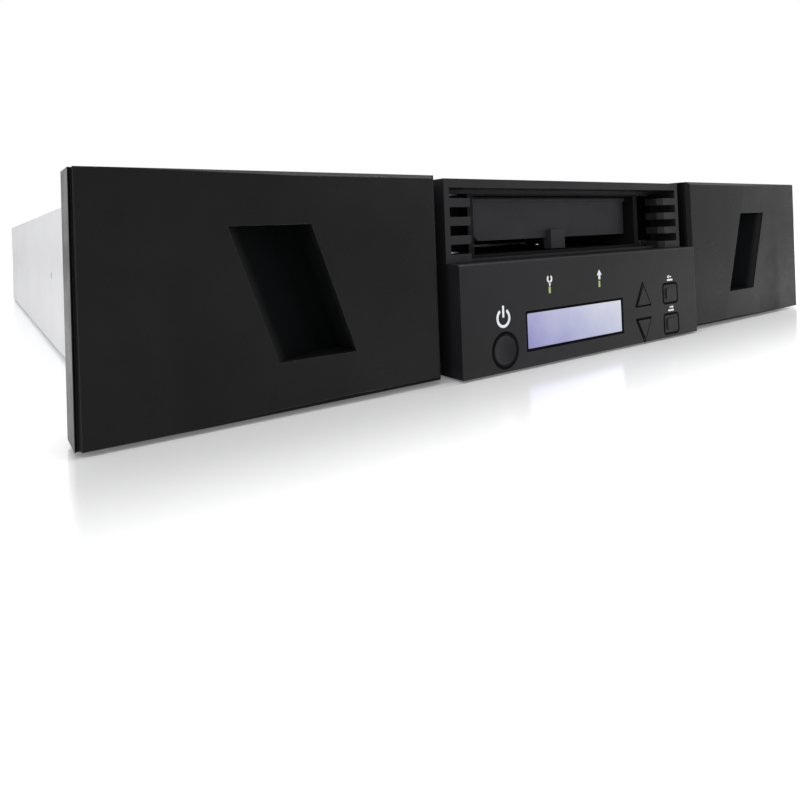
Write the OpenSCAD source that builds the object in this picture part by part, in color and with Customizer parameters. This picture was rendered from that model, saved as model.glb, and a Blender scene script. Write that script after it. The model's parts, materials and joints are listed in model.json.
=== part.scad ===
// Two-unit rack tape library: two slide-out cartridge magazines, a mail slot and a control panel.
// +X is to the right as seen from the front, +Y runs to the rear and +Z is up.
// The origin is the middle of the base tray's underside.

/* [Front] */
// How far each rack ear and magazine panel reaches past the side of the chassis
ear_out = 17.3; // [15:0.1:19]
// Height of a magazine panel
panel_h = 87; // [86:0.5:88]
// Depth of a magazine panel
panel_d = 20; // [19:0.5:24]
// Height of the control panel
control_h = 49; // [48:0.25:49.5]
// How far the control panel stands out in front of the magazine panels
control_proud = 5; // [3:0.5:8]
// Angle by which the outer half of each magazine panel sweeps back
sweep = 1.5; // [0.5:0.1:2]

/* [Chassis] */
// Width of the bay between the two magazines, which holds the picker and the drive
bay_w = 204; // [200:1:206]
// Room behind the magazines for their motors
rear_room = 79; // [76:1:120]
// Room above the top layer of cartridges
head_room = 8.2; // [7.8:0.1:9]
// Thickness of the sheet metal
sheet_t = 1.2; // [1:0.1:1.3]

/* [Cartridge] */
// Width of a cartridge, along the magazine
cart_w = 102; // [100:0.5:104]
// Length of a cartridge, across the magazine
cart_l = 105.4; // [104:0.1:106]
// Thickness of a cartridge
cart_h = 21.5; // [20:0.1:22]

/* [Handle recess] */
// Width of the finger recess along its level edges
recess_w = 32.5; // [28:0.5:34]
// Height of the finger recess
recess_h = 49.5; // [44:0.5:52]
// Depth of the finger recess at its inner side
recess_d = 14; // [10:0.5:15]

/* [Buttons] */
// Travel of each button
travel = 1; // [0.6:0.1:1.2]
// Side gap between a button and its hole
button_gap = 0.4; // [0.3:0.05:0.5]

/* [Hidden] */
$fn = 64;
eps = 0.01;

// Magazine: four cartridges long and two high, carried round on two belts
pitch = cart_w + 6;
belt_r = 23;
belt_t = 1.2;
belt_w = 3.4;
belt_run = 4 * pitch - PI * belt_r;
mag_wall = 1.4;
mag_floor = 3.6;
mag_len = ceil(belt_run + 2 * belt_r + cart_w + 12);
axle_z = mag_floor + mag_wall + 1.5 + belt_r;
low_z = axle_z - belt_r + belt_t / 2;
high_z = axle_z + belt_r + belt_t / 2;
carrier_t = 1.2;
bed_z = high_z + carrier_t;
axle_r = 3;
running = 0.05;

// Main planes
chassis_d = mag_len + 1 + rear_room;
chassis_h = bed_z + cart_h + head_room;
mag_top = chassis_h - 4;
front_y = -chassis_d / 2;
rear_y = chassis_d / 2;
panel_y = front_y - panel_d;
control_y = panel_y - control_proud;
panel_z = 1;
control_z = 0.4;
control_top = control_z + control_h;
frame_top = panel_z + panel_h - 1;
cover_in = chassis_h - sheet_t;

// Widths, from the bay in the middle out to the ends of the front
mag_in = bay_w / 2;
cart_in = mag_in + 7;
cart_out = cart_in + cart_l;
mag_out = cart_out + 6.2;
mag_clear = 0.9;
tray_in = mag_out + mag_clear;
tray_out = tray_in + sheet_t;
chassis_w = 2 * (tray_out + 0.1 + sheet_t);
front_w = chassis_w + 2 * ear_out;
panel_in = mag_in - 3.7;
panel_out = front_w / 2;
side_w = panel_out - panel_in;
centre_w = 2 * (panel_in - 6.8);

// Magazine panel
panel_wall = 3;
bevel = 1.6;
lean = 20.1;
crease_x = panel_in + 36.2;
recess_x = crease_x + 6.6;
recess_z = panel_z + 18;
panel_back = front_y - 0.5;

// Places along the magazine
mag_y0 = front_y + 1;
mag_y1 = mag_y0 + mag_len;
mag_mid = (mag_y0 + mag_y1) / 2;
outer_belt_x = mag_out - mag_wall - 0.6 - belt_w;
inner_belt_x = mag_in + mag_wall + 1.2;
motor_x = (mag_in + mag_out) / 2;

// Centre frame, throat and mail door
frame_y = panel_y + 3;
frame_x = centre_w / 2;
louvre_in = frame_x - 17.2;
door_w = 2 * (louvre_in - 11.5);
louvre_d = 10;
louvre_pitch = 8.3;
louvre_bar = 3.9;
throat_x = door_w / 2 + 1.2;
throat_y = panel_y + 14;
throat_back = front_y + 30;
throat_z0 = control_top + 1.8;
throat_z1 = cover_in - sheet_t - 0.4;
door_y = panel_y + 20;
door_t = 2;
hinge_z = throat_z1 - 2.6;
hinge_y = door_y + door_t / 2;
door_z0 = control_top + 9;
tab_z0 = throat_z0 + 1.4;

// Control panel
control_x = centre_w / 2;
skin = 2.5;
floor_skin = 1.3;
flange_y = control_y + skin + 0.3;
switch_h = 3.1;
board_y = flange_y + 1 + travel + 0.4 + switch_h;
module_w = centre_w / 183;
power_x = -65.8 * module_w;
power_zc = control_z + 9.6;
power_r = 6.6;
arrow_x = 39.5 * module_w;
key_x = 65.5 * module_w;
up_z = control_z + 25;
down_z = control_z + 7.2;
key_w = 12.6 * module_w;
key_h = 9.6;
escape_z = control_z + 24.2;
enter_z = control_z + 7.3;
window_x0 = -52.2 * module_w;
window_x1 = 21.5 * module_w;
window_z0 = control_z + 6.9;
window_z1 = control_z + 25.6;
light_x = [-34.9 * module_w, 2.7 * module_w];
light_z = control_z + 34;

// Picker
table_r = bay_w / 2 - 10;
table_y = throat_back + 12 + table_r;
base_z = 36;
table_z = 43;
spindle_r = 5;
rail_in = cart_w / 2 + 1.5;
rail_t = 2;
rail_len = sqrt(pow(table_r, 2) - pow(rail_in + rail_t, 2)) - 6;
reach_y1 = rail_len - 8;
reach_y0 = reach_y1 - 16;

// Drive and electronics
drive_w = 146;
drive_h = 41.3;
drive_d = 205;
sled_x = drive_w / 2 + 6;
drive_z = cover_in - 0.6 - drive_h;
drive_y = table_y + table_r + 8;
board_z = 5;
board_x1 = bay_w / 2 - 10;
supply_x0 = 4 - bay_w / 2;
supply_x1 = -10;
supply_y0 = rear_y - 150;
supply_y1 = rear_y - 32;
supply_z1 = chassis_h - 6;
inlet_x = supply_x0 + 22;
inlet_z = 44;
rocker_x = inlet_x + 42;
rocker_w = 19;
rocker_h = 13;
fan_x = 55;
fan_z = 51;
fan_size = 60;
fan_d = 25;
fan_y = rear_y - sheet_t - fan_d;
ear_reach = ear_out - 0.3;
hole_x = front_w / 2 - 8.75;
rear_screw_x = [40 - tray_in, -60, 60, tray_in - 40];
front_screw_x = [16 - panel_in, panel_in - 16];
hole_dz = 38.1;
hole_r = 3.5;
mid_z = 44.45;
rail_hole_y = [-100, 200];
rocker_tilt = 8;

// Puts its children on the right, and mirrors them for the left
module on_side(s) {
  if (s > 0) children();
  else mirror([1, 0, 0]) children();
}

// A block given by two opposite corners
module block(a, b) {
  translate(a) cube(b - a);
}

// A cylinder along Y from y0 to y1
module rod_y(x, z, y0, y1, r) {
  translate([x, y0, z]) rotate([-90, 0, 0]) cylinder(r = r, h = y1 - y0);
}

// A cylinder along X from x0 to x1
module rod_x(x0, x1, y, z, r) {
  translate([x0, y, z]) rotate([0, 90, 0]) cylinder(r = r, h = x1 - x0);
}

// A cylinder along Z from z0 to z1
module rod_z(x, y, z0, z1, r) {
  translate([x, y, z0]) cylinder(r = r, h = z1 - z0);
}

// ---- Sheet metal ----

// Tray with low side walls and screw holes in them for the rack's slide rails
module base_tray() {
  color("silver")
  difference() {
    union() {
      block([-tray_out, front_y, 0], [tray_out, rear_y, sheet_t]);
      for (s = [-1, 1]) on_side(s) block([tray_in, front_y, 0], [tray_out, rear_y, 62]);
    }
    for (s = [-1, 1], y = rail_hole_y) on_side(s) rod_x(tray_in - 1, tray_out + 1, y, mid_z, 2.1);
  }
}

// Cover that wraps over the top and down both sides
module top_cover() {
  color("gainsboro")
  difference() {
    union() {
      block([-chassis_w / 2, front_y, cover_in], [chassis_w / 2, rear_y, chassis_h]);
      for (s = [-1, 1]) on_side(s)
        block([chassis_w / 2 - sheet_t, front_y, 1.6], [chassis_w / 2, rear_y, chassis_h]);
    }
    for (s = [-1, 1], y = rail_hole_y)
      on_side(s) rod_x(tray_in - 1, chassis_w / 2 + 1, y, mid_z, 2.1);
    for (x = front_screw_x) rod_z(x, front_y + 8, cover_in - 1, chassis_h + 1, 1.7);
    for (x = rear_screw_x) rod_z(x, rear_y - 9, cover_in - 1, chassis_h + 1, 1.7);
  }
}

// Rear wall with cut-outs for the inlet, the switch, the fan and the ports
module rear_panel() {
  color("silver")
  difference() {
    union() {
      block([-tray_in, rear_y - sheet_t, sheet_t], [tray_in, rear_y, cover_in]);
      block([20 - tray_in, rear_y - 14, cover_in - sheet_t], [tray_in - 20, rear_y, cover_in]);
    }
    block([inlet_x - 14, rear_y - 3, inlet_z - 10.5], [inlet_x + 14, rear_y + 1, inlet_z + 10.5]);
    block([rocker_x - 12, rear_y - 3, inlet_z - 9], [rocker_x + 12, rear_y + 1, inlet_z + 9]);
    fan_holes();
    for (s = [-1, 1], i = [0:11], j = [0:5]) on_side(s)
      rod_y(mag_in + 16 + i * 8, 18 + j * 9, rear_y - 3, rear_y + 1, 2.6);
    block([8, rear_y - 3, board_z + 1], [25, rear_y + 1, board_z + 15]);
    block([32, rear_y - 3, board_z + 1], [46, rear_y + 1, board_z + 9]);
    block([54, rear_y - 3, board_z + 1], [87, rear_y + 1, board_z + 13]);
    for (x = rear_screw_x) rod_z(x, rear_y - 9, cover_in - 3, cover_in + 1, 1.3);
  }
}

// Rings of air holes in front of the fan
module fan_holes() {
  for (ring = [1:3], i = [0:ring * 6 - 1])
    rod_y(fan_x + ring * 8 * cos(i * 60 / ring), fan_z + ring * 8 * sin(i * 60 / ring),
          rear_y - 3, rear_y + 1, 3);
}

// Plate across the middle of the front that holds the frame and the control panel
module front_bulkhead() {
  color("silver")
  difference() {
    union() {
      block([0.8 - panel_in, front_y, sheet_t], [panel_in - 0.8, front_y + sheet_t, cover_in]);
      block([8.3 - panel_in, front_y, cover_in - sheet_t], [panel_in - 8.3, front_y + 14, cover_in]);
      block([8.3 - panel_in, front_y, sheet_t], [panel_in - 8.3, front_y + 12, 2 * sheet_t]);
    }
    block([-throat_x - 4, front_y - 1, throat_z0 - 1], [throat_x + 4, front_y + sheet_t + 1, throat_z1 + 0.3]);
    block([20 * module_w, front_y - 1, 14], [60 * module_w, front_y + sheet_t + 1, 30]);
    for (x = front_screw_x) rod_z(x, front_y + 8, cover_in - 3, cover_in + 1, 1.3);
  }
}

// Rack ears: a leg on each side of the chassis and a slotted flange behind the panel
module rack_ears() {
  color("silver")
  for (s = [-1, 1]) on_side(s) difference() {
    union() {
      block([chassis_w / 2, front_y, 2], [chassis_w / 2 + ear_reach, front_y + 2, 86.8]);
      block([chassis_w / 2, front_y, 2], [chassis_w / 2 + 2, front_y + 40, 82]);
    }
    for (dz = [-hole_dz, hole_dz]) {
      for (dx = [-1.5, 1.5]) rod_y(hole_x + dx, mid_z + dz, front_y - 1, front_y + 3, hole_r);
      block([hole_x - 1.5, front_y - 1, mid_z + dz - hole_r], [hole_x + 1.5, front_y + 3, mid_z + dz + hole_r]);
    }
    for (z = [18, 42, 66]) rod_x(chassis_w / 2 - 1, chassis_w / 2 + 3, front_y + 28, z, 2.1);
  }
}

// Walls between the magazine bays and the picker, low enough for a cartridge to pass over
module bay_dividers() {
  color("silver")
  for (s = [-1, 1]) on_side(s) {
    block([mag_in - 2.4, front_y + sheet_t, sheet_t], [mag_in - 1.2, mag_y1 + 4, bed_z - 4]);
    block([mag_in - 7, front_y + sheet_t, sheet_t], [mag_in - 1.2, mag_y1 + 4, 2 * sheet_t]);
  }
}

// Plastic strips on which the magazines slide
module magazine_rails() {
  color("dimgray")
  for (s = [-1, 1], x = [mag_in + 6, mag_out - 10]) on_side(s)
    block([x, front_y + 6, sheet_t], [x + 4, mag_y1 - 2, mag_floor - 0.4]);
}

// Screws that hold the cover to the bulkhead and the rear panel
module cover_screws() {
  color("lightgray")
  for (p = concat([for (x = front_screw_x) [x, front_y + 8]], [for (x = rear_screw_x) [x, rear_y - 9]])) {
    rod_z(p[0], p[1], chassis_h, chassis_h + 1.6, 3.2);
    rod_z(p[0], p[1], cover_in - sheet_t - 0.4, chassis_h, 1.28);
  }
}

// Screws that hold the rack ears to the chassis
module ear_screws() {
  color("lightgray")
  for (s = [-1, 1], z = [18, 42, 66]) on_side(s) {
    rod_x(chassis_w / 2 + 2, chassis_w / 2 + 3.4, front_y + 28, z, 3.6);
    rod_x(chassis_w / 2, chassis_w / 2 + 2, front_y + 28, z, 2);
  }
}

// ---- Mail slot ----

// Frame with a comb of louvre bars on each side of the mail slot
module centre_frame() {
  color("#2a2a2c")
  difference() {
    union() {
      block([-frame_x, frame_y, frame_top - 4], [frame_x, front_y, frame_top]);
      block([-frame_x, throat_y, throat_z1], [frame_x, front_y, frame_top]);
      for (s = [-1, 1]) on_side(s) {
        block([frame_x - 3, frame_y, control_top + 0.1], [frame_x, front_y, frame_top]);
        block([frame_x - 3, front_y - 4, control_z + 2], [panel_in - 0.9, front_y, frame_top - 2]);
        for (i = [0:3]) louvre(control_top + 0.1 + i * louvre_pitch);
      }
      block([-frame_x, frame_y + 5, control_top + 0.1], [frame_x, front_y, control_top + 1.4]);
    }
    for (s = [-1, 1]) on_side(s)
      block([frame_x - 4, front_y - 5, control_z - 1], [frame_x + 0.2, front_y + 1, control_top + 0.1]);
  }
}

// One louvre bar, bevelled at its free end
module louvre(z) {
  translate([0, 0, z]) linear_extrude(louvre_bar)
    polygon([[louvre_in + 2, frame_y], [frame_x - 2, frame_y], [frame_x - 2, frame_y + louvre_d],
             [louvre_in, frame_y + louvre_d], [louvre_in, frame_y + 3]]);
}

// Duct behind the frame that guides a cartridge in, with the door's bearings in its side walls
module throat_liner() {
  color("#1c1c1e")
  difference() {
    block([-throat_x - 3.6, throat_y, throat_z0 - 0.4], [throat_x + 3.6, throat_back, throat_z1]);
    block([-throat_x, throat_y - 1, throat_z0 + 0.8], [throat_x, throat_back + 1, throat_z1 - 0.9]);
    rod_x(-throat_x - 2.6, throat_x + 2.6, hinge_y, hinge_z, 1.5 + running);
  }
}

// Flap with a finger tab, hung from two pins at its top
module mail_door() {
  color("#3a3a3d")
  union() {
    difference() {
      block([-door_w / 2, door_y, door_z0], [door_w / 2, door_y + door_t, hinge_z + 1]);
      translate([-door_w / 2, door_y - 1, door_z0]) rotate([0, 45, 0])
        translate([-5, 0, -5]) cube([10, door_t + 2, 10]);
    }
    rod_x(-door_w / 2, door_w / 2, hinge_y, hinge_z, 1.5);
    rod_x(-throat_x - 2.4, throat_x + 2.4, hinge_y, hinge_z, 1.5);
    block([-5.5, door_y - 3, tab_z0], [5.5, door_y + eps, tab_z0 + 10]);
    block([-5.5, door_y - 1, tab_z0], [5.5, door_y + door_t, door_z0 + 1]);
  }
}

// ---- Control panel ----

// Outline of a triangular button, pointing up for up = 1 and down for up = -1
module arrow_outline(up, grow) {
  w = 5.6 + grow * 1.9;
  polygon([[-w, -up * (4.9 + grow)], [w, -up * (4.9 + grow)], [0, up * (4.9 + grow * 2)]]);
}

// Extrudes its flat children along +Y, their second axis becoming Z
module on_front(x, y0, y1, z) {
  translate([x, y1, z]) rotate([90, 0, 0]) linear_extrude(y1 - y0) children();
}

// Rounded rectangle made of squares and circles
module soft_rect(w, h, r) {
  square([w - 2 * r, h], center = true);
  square([w, h - 2 * r], center = true);
  for (x = [-1, 1], y = [-1, 1]) translate([x * (w / 2 - r), y * (h / 2 - r)]) circle(r, $fn = 24);
}

// Moulded shell of the control panel with holes for the keys, the display and the lights
module control_fascia() {
  color("#303033")
  difference() {
    block([-control_x, control_y, control_z], [control_x, front_y, control_top]);
    block([-control_x + skin, control_y + skin, control_z + floor_skin],
          [control_x - skin, front_y + 1, control_top - skin]);
    translate([0, control_y, control_top]) rotate([45, 0, 0]) cube([centre_w + 2, 0.9, 0.9], center = true);
    block([window_x0, control_y - 1, window_z0], [window_x1, control_y + skin + 1, window_z1]);
    rod_y(power_x, power_zc, control_y - 1, control_y + skin + 1, power_r + button_gap);
    on_front(arrow_x, control_y - 1, control_y + skin + 1, up_z) arrow_outline(1, button_gap);
    on_front(arrow_x, control_y - 1, control_y + skin + 1, down_z) arrow_outline(-1, button_gap);
    for (z = [escape_z, enter_z]) on_front(key_x, control_y - 1, control_y + skin + 1, z)
      soft_rect(key_w + 2 * button_gap, key_h + 2 * button_gap, 2);
    for (x = light_x)
      block([x - 0.8, control_y - 1, light_z - 1.6], [x + 0.8, control_y + skin + 1, light_z + 1.6]);
  }
}

// Clear window that fills the opening and is held from behind by its rim
module display_window() {
  color("lavender")
  union() {
    block([window_x0 + 0.05, control_y + 0.5, window_z0 + 0.05],
          [window_x1 - 0.05, control_y + skin + 1, window_z1 - 0.05]);
    block([window_x0 - 2, control_y + skin, window_z0 - 2],
          [window_x1 + 2, control_y + skin + 1.2, window_z1 + 2]);
  }
}

// Display with its metal bezel, soldered to the front board
module display_module() {
  color("slategray")
  difference() {
    block([window_x0 - 3.5, control_y + skin + 1.3, window_z0 - 3], [window_x1 + 3.5, board_y, window_z1 + 3]);
    block([window_x0 + 1, control_y + skin, window_z0 + 0.6],
          [window_x1 - 1, control_y + skin + 1.9, window_z1 - 0.6]);
  }
}

// Front board with a key switch behind each button and a lamp behind each light pipe
module control_board() {
  color("darkgreen")
  union() {
    block([-control_x + 4, board_y, control_z + 2.4], [control_x - 4, board_y + 1.6, control_top - 4]);
    for (p = [[power_x, power_zc], [arrow_x, up_z], [arrow_x, down_z], [key_x, escape_z], [key_x, enter_z]])
      block([p[0] - 3, board_y - switch_h, p[1] - 3], [p[0] + 3, board_y, p[1] + 3]);
    for (x = light_x) block([x - 1.5, board_y - 1, light_z - 1.5], [x + 1.5, board_y, light_z + 1.5]);
    block([26 * module_w, board_y + 1.6, 16], [54 * module_w, board_y + 8, 28]);
  }
}

// Clear pipes that bring the two status lights to the front
module status_light_pipes() {
  color("yellowgreen")
  for (x = light_x) {
    block([x - 0.75, control_y + 0.1, light_z - 1.55], [x + 0.75, board_y - 1.1, light_z + 1.55]);
    block([x - 1.8, control_y + skin, light_z - 2.4], [x + 1.8, control_y + skin + 1.2, light_z + 2.4]);
  }
}

// Round power button with a dished cap and a retaining flange
module power_button() {
  color("#2c2c2f")
  difference() {
    union() {
      rod_y(power_x, power_zc, control_y + 0.2, flange_y + 0.1, power_r);
      rod_y(power_x, power_zc, flange_y, flange_y + 1, power_r + 1.2);
    }
    translate([power_x, control_y - 12.4, power_zc]) sphere(r = 14, $fn = 96);
  }
}

// Triangular button with a retaining flange
module arrow_button(z, up) {
  color("#2c2c2f") {
    on_front(arrow_x, control_y - 0.5, flange_y + 0.1, z) arrow_outline(up, 0);
    on_front(arrow_x, flange_y, flange_y + 1, z) arrow_outline(up, 0.4);
    on_front(arrow_x, flange_y, flange_y + 1, z) soft_rect(12.6, 5.4, 1);
  }
}

module up_button() { arrow_button(up_z, 1); }

module down_button() { arrow_button(down_z, -1); }

// Square-cornered button with a raised pad on its cap
module key_button(z) {
  color("#38383b") {
    on_front(key_x, control_y, flange_y + 0.1, z) soft_rect(key_w, key_h, 1.6);
    on_front(key_x, control_y - 0.6, control_y + 0.1, z) soft_rect(key_w - 4, key_h - 3.4, 1);
    on_front(key_x, flange_y, flange_y + 1, z) soft_rect(key_w + 1.4, key_h + 1.2, 1.6);
  }
}

module escape_button() { key_button(escape_z); }

module enter_button() { key_button(enter_z); }

// ---- Magazine ----

// Outer form of a magazine panel, drawn in by `inset`, with its outer half swept back past the crease
module panel_form(inset, back) {
  difference() {
    block([panel_in + inset, panel_y + inset, panel_z + inset],
          [panel_out - inset, back, panel_z + panel_h - inset]);
    translate([crease_x, panel_y + inset, panel_z]) rotate([0, lean, 0]) rotate([0, 0, sweep])
      translate([0, -60, -120]) cube([240, 60, 340]);
  }
}

// Slanted prism for the finger recess, grown by `wall` to give its cup
module recess_form(wall) {
  w = recess_w * cos(lean);
  intersection() {
    translate([recess_x, panel_y, recess_z]) rotate([0, lean, 0])
      translate([0, 0, -60]) linear_extrude(200)
        polygon([[-wall, wall > 0 ? 1.5 : -8], [w + wall, wall > 0 ? 1.5 : -8], [w + wall, 1.6 + wall],
                 [8 + wall / 2, recess_d + wall], [-wall, recess_d + wall]]);
    block([panel_in, panel_y - 10, recess_z - wall], [panel_out, front_y, recess_z + recess_h + wall]);
  }
}

// Square bar, turned by `turn`, that takes the bevel off a level front edge at height z
module edge_bevel_x(z, turn) {
  translate([(panel_in + panel_out) / 2, panel_y, z]) rotate([turn, 0, 0])
    cube([side_w + 20, bevel * 2, bevel * sqrt(2)], center = true);
}

// Hollow moulded front of a magazine with a slanted finger recess
module magazine_panel() {
  color("#242426")
  difference() {
    union() {
      difference() {
        panel_form(0, panel_back);
        panel_form(panel_wall, panel_back + 5);
        for (z = [panel_z, panel_z + panel_h]) edge_bevel_x(z, 45);
        translate([panel_out, panel_y + 2.4, 0]) rotate([0, 0, 45])
          cube([bevel * sqrt(2), bevel * 3, 400], center = true);
        translate([panel_in, panel_y, 0]) rotate([0, 0, 45])
          cube([bevel * 2, bevel * sqrt(2), 400], center = true);
      }
      recess_form(2.2);
      for (x = [mag_in + 9, mag_out - 9], z = [12, 74]) rod_y(x, z, panel_y + 2.5, mag_y0, 3.6);
    }
    recess_form(0);
  }
}

// Open tray with a floor, four walls and a stub axle for each belt pulley
module magazine_tray() {
  color("dimgray")
  difference() {
    union() {
      block([mag_in, mag_y0, mag_floor], [mag_out, mag_y1, mag_floor + mag_wall]);
      block([mag_out - mag_wall, mag_y0, mag_floor], [mag_out, mag_y1, mag_top]);
      block([mag_in, mag_y0, mag_floor], [mag_in + mag_wall, mag_y1, bed_z - 4]);
      for (y = [mag_y0, mag_y1 - mag_wall]) block([mag_in, y, mag_floor], [mag_out, y + mag_wall, mag_top]);
      for (y = [mag_mid - belt_run / 2, mag_mid + belt_run / 2]) {
        rod_x(mag_in + 0.5, inner_belt_x + belt_w, y, axle_z, axle_r);
        rod_x(outer_belt_x, mag_out - 0.5, y, axle_z, axle_r);
      }
    }
    for (i = [-1.5:1:1.5])
      block([mag_out - 3, mag_mid + i * pitch - 28, 34], [mag_out + 1, mag_mid + i * pitch + 28, 48]);
  }
}

// One cartridge with its floor at z, its gripping face towards the picker
module cartridge(y, z) {
  difference() {
    block([cart_in, y - cart_w / 2, z], [cart_out, y + cart_w / 2, z + cart_h]);
    block([cart_in - 1, y - 44, z + 4], [cart_in + 0.6, y + 10, z + 17]);
    block([cart_in - 1, y + 30, z + 6], [cart_in + 2, y + 42, z + 12]);
    block([cart_in + 14, y - 40, z + cart_h - 0.6], [cart_out - 12, y + 40, z + cart_h + 1]);
    rod_z((cart_in + cart_out) / 2, y, z - 1, z + 3, 11);
    for (dy = [-cart_w / 2 - 1, cart_w / 2 - 1.4])
      block([cart_in + 10, y + dy, z + 8], [cart_in + 22, y + dy + 2.4, z + 13.5]);
  }
}

// Eight cartridges, four in each layer
module magazine_cartridges() {
  color("#40444c")
  for (i = [-1.5:1:1.5], z = [low_z, high_z]) cartridge(mag_mid + i * pitch, z + carrier_t);
}

// Carrier trays on which the cartridges lie, each with two lugs that reach over the belts
module magazine_carriers() {
  color("darkslategray")
  for (i = [-1.5:1:1.5], z = [low_z, high_z]) {
    y = mag_mid + i * pitch;
    block([cart_in, y - cart_w / 2 - 1.4, z], [cart_out, y + cart_w / 2 + 1.4, z + carrier_t]);
    for (s = [-1, 1]) translate([0, y + s * (cart_w / 2 + 0.8) - 0.6, z])
      block([cart_in, 0, 0], [cart_out, 1.2, 12]);
    block([inner_belt_x, y - 4, z], [outer_belt_x + belt_w, y + 4, z + carrier_t]);
  }
}

// Flat shape of a belt loop of outer radius r
module loop_shape(r) {
  for (s = [-1, 1]) translate([s * belt_run / 2, 0]) circle(r);
  square([belt_run, 2 * r], center = true);
}

// The two belt loops of a magazine
module magazine_belts() {
  color("#151515")
  for (x = [inner_belt_x, outer_belt_x])
    translate([x, mag_mid, axle_z]) rotate([90, 0, 90]) linear_extrude(belt_w) difference() {
      loop_shape(belt_r + belt_t / 2);
      loop_shape(belt_r - belt_t / 2);
    }
}

// Two pulleys that turn on one line, one for each belt
module magazine_pulleys(end) {
  y = mag_mid + end * belt_run / 2;
  color("ivory")
  for (x = [inner_belt_x, outer_belt_x]) difference() {
    rod_x(x + 0.1, x + belt_w - 0.1, y, axle_z, belt_r - belt_t / 2 - running);
    rod_x(x - 1, x + belt_w + 1, y, axle_z, axle_r + running);
    for (a = [0:60:300])
      rod_x(x - 1, x + belt_w + 1, y + 13 * cos(a), axle_z + 13 * sin(a), 4);
  }
}

module left_panel() { on_side(-1) magazine_panel(); }

module right_panel() { on_side(1) magazine_panel(); }

module left_tray() { on_side(-1) magazine_tray(); }

module right_tray() { on_side(1) magazine_tray(); }

module left_cartridges() { on_side(-1) magazine_cartridges(); }

module right_cartridges() { on_side(1) magazine_cartridges(); }

module left_carriers() { on_side(-1) magazine_carriers(); }

module right_carriers() { on_side(1) magazine_carriers(); }

module left_belts() { on_side(-1) magazine_belts(); }

module right_belts() { on_side(1) magazine_belts(); }

module left_front_pulleys() { on_side(-1) magazine_pulleys(-1); }

module left_rear_pulleys() { on_side(-1) magazine_pulleys(1); }

module right_front_pulleys() { on_side(1) magazine_pulleys(-1); }

module right_rear_pulleys() { on_side(1) magazine_pulleys(1); }

// Geared motors behind the bays that drive the magazines' belts
module magazine_motors() {
  color("gray")
  for (s = [-1, 1]) on_side(s) {
    block([motor_x - 19, mag_y1 + 8, sheet_t], [motor_x + 19, mag_y1 + 44, 42]);
    rod_y(motor_x, 24, mag_y1 + 3, mag_y1 + 8, 9);
    rod_y(motor_x, 24, mag_y1 + 1, mag_y1 + 3, 4);
  }
}

// ---- Picker ----

// Bridge plate on four posts with the turntable's bearing
module picker_base() {
  color("silver")
  difference() {
    union() {
      block([2 - table_r, table_y - table_r + 2, base_z], [table_r - 2, table_y + table_r - 2, base_z + 1.6]);
      for (x = [12 - table_r, table_r - 12], y = [12 - table_r, table_r - 12])
        rod_z(x, table_y + y, sheet_t, base_z, 4);
      rod_z(0, table_y, base_z, table_z - 0.4, 14);
    }
    rod_z(0, table_y, base_z - 1, table_z + 1, spindle_r + running);
  }
}

// Motor below the bridge plate, recessed for the end of the spindle
module picker_motor() {
  color("dimgray")
  difference() {
    block([-21, table_y - 21, 8], [21, table_y + 21, base_z]);
    rod_z(0, table_y, base_z - 3, base_z + 1, spindle_r + 2);
  }
}

// Turntable with a cartridge bed between two guide walls
module picker_turntable() {
  color("darkgray")
  difference() {
    union() {
      rod_z(0, table_y, table_z, table_z + 2.5, table_r);
      rod_z(0, table_y, base_z - 2, table_z + 1, spindle_r);
      for (s = [-1, 1]) on_side(s)
        block([rail_in, table_y - rail_len, table_z],
              [rail_in + rail_t, table_y + rail_len, bed_z + cart_h + 2]);
      block([-rail_in - 1, table_y - rail_len + 2, bed_z - 1.8],
            [rail_in + 1, table_y + rail_len - 2, bed_z - 0.2]);
    }
    block([-3, table_y - rail_len + 6, bed_z - 3], [3, table_y + rail_len - 4, bed_z + 1]);
    for (a = [45:90:315])
      rod_z((table_r - 18) * cos(a), table_y + (table_r - 18) * sin(a), table_z - 1, table_z + 4, 8);
  }
}

// Carriage with two gripper fingers, guided by a key in the bed's slot
module picker_carriage() {
  color("dimgray")
  union() {
    block([8.5 - rail_in, table_y + reach_y0, bed_z + 0.3], [rail_in - 8.5, table_y + reach_y1, bed_z + 18]);
    block([-2.6, table_y + reach_y0 - 4, bed_z - 2.6], [2.6, table_y + reach_y1, bed_z + 1]);
    for (s = [-1, 1]) on_side(s) {
      block([rail_in - 5, table_y + reach_y0 - 24, bed_z + 6], [rail_in - 2, table_y + reach_y1, bed_z + 14]);
      block([rail_in - 9.5, table_y + reach_y0 + 6, bed_z + 6], [rail_in - 2, table_y + reach_y1, bed_z + 14]);
    }
  }
}

// ---- Drive and electronics ----

// Half-height tape drive with a cartridge mouth at the front
module tape_drive() {
  color("#8a8c90")
  difference() {
    block([-drive_w / 2, drive_y, drive_z], [drive_w / 2, drive_y + drive_d, drive_z + drive_h]);
    block([-drive_w / 2 + 1.6, drive_y + 2, drive_z + 1.6],
          [drive_w / 2 - 1.6, drive_y + drive_d - 8, drive_z + drive_h - 1.6]);
    block([-cart_w / 2 - 2, drive_y - 1, bed_z - 1.5], [cart_w / 2 + 2, drive_y + 3, bed_z + cart_h + 1.5]);
    block([-40, drive_y + drive_d - 6, drive_z + 8], [20, drive_y + drive_d + 1, drive_z + 20]);
  }
}

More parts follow.
